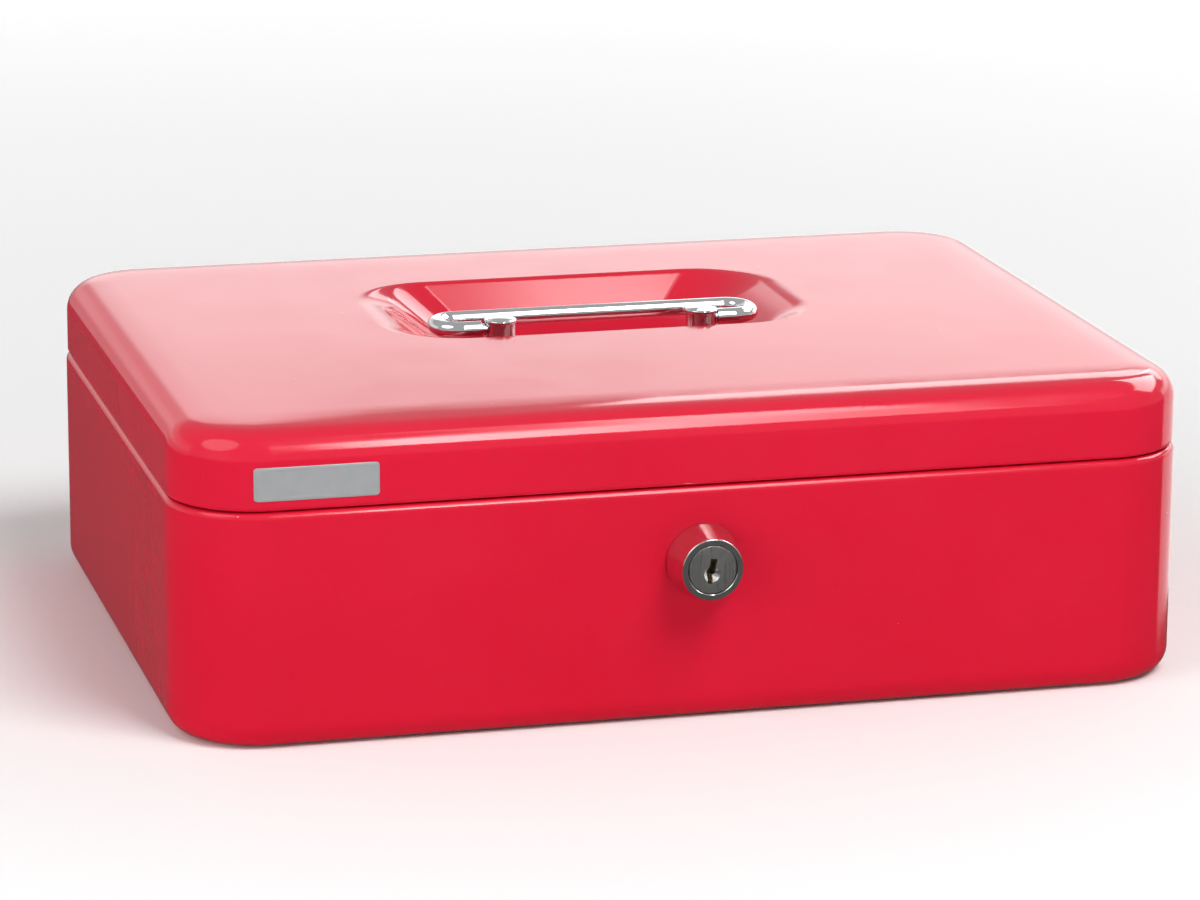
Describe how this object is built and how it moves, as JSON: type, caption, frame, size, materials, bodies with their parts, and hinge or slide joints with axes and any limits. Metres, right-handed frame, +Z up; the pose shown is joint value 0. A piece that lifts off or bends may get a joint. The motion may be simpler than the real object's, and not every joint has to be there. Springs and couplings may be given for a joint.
{
  "type": "cash box",
  "caption": "Low steel cash box with rounded corners, a hinged lid with a recessed wire carrying handle, a front cam lock and a lift-out coin tray.",
  "frame": {"origin": "on the ground, under the middle of the steel shell's plan (the lock and the hinge knuckles stand out past the shell and are not counted)", "axes": "+X along the front, to the right of someone facing the lock; the lock faces -Y; +Z up"},
  "size_m": [0.3, 0.2389, 0.095],
  "materials": {
    "body_paint": "gloss red enamel over sheet steel, light orange peel",
    "lid_paint": "gloss red enamel over sheet steel, light orange peel",
    "bail_chrome": "bright plated",
    "post_chrome": "bright plated",
    "zinc": "zinc-plated steel",
    "lock_nickel": "satin nickel plate",
    "plug_nickel": "satin nickel plate",
    "hinge_paint": "gloss red enamel over sheet steel, light orange peel",
    "tray_plastic": "vacuum-formed black plastic, fine grain",
    "wafer_brass": "stamped brass"
  },
  "bodies": {
    "body": {"body_shell": "body_paint", "lock_housing": "lock_nickel", "lock_washer": "zinc", "lock_nut": "zinc", "hinge_left_body_leaf": "hinge_paint", "hinge_right_body_leaf": "hinge_paint", "hinge_left_pin": "zinc", "hinge_right_pin": "zinc", "tray_ledge_left": "body_paint", "tray_ledge_right": "body_paint"},
    "lid": {"lid_shell": "lid_paint", "lid_keeper": "zinc", "handle_post_left": "post_chrome", "handle_post_right": "post_chrome", "post_washer_left": "zinc", "post_washer_right": "zinc", "post_nut_left": "zinc", "post_nut_right": "zinc", "hinge_left_lid_leaf": "hinge_paint", "hinge_right_lid_leaf": "hinge_paint"},
    "handle": {"handle_bail": "bail_chrome"},
    "lock": {"lock_plug": "plug_nickel", "lock_cam": "zinc", "cam_screw": "zinc", "lock_wafer_1": "wafer_brass", "lock_wafer_2": "wafer_brass", "lock_wafer_3": "wafer_brass", "lock_wafer_4": "wafer_brass", "lock_wafer_5": "wafer_brass"},
    "tray": {"coin_tray": "tray_plastic"}
  },
  "joints": [
    {"name": "lid_hinge", "type": "hinge", "parent": "body", "child": "lid", "pos_m": [0, 0.1135, 0.069], "axis": [-1, 0, 0], "range_deg": [0, 105]},
    {"name": "handle_pivot", "type": "hinge", "parent": "lid", "child": "handle", "pos_m": [-0.0012, -0.0033, 0.0918], "axis": [1, 0, 0], "range_deg": [0, 165]},
    {"name": "lock_turn", "type": "hinge", "parent": "body", "child": "lock", "pos_m": [0, -0.1125, 0.0473], "axis": [0, 1, 0], "range_deg": [0, 90]},
    {"name": "tray_lift", "type": "slide", "parent": "body", "child": "tray", "axis": [0, 0, 1], "range_m": [0, 0.0155]}
  ]
}
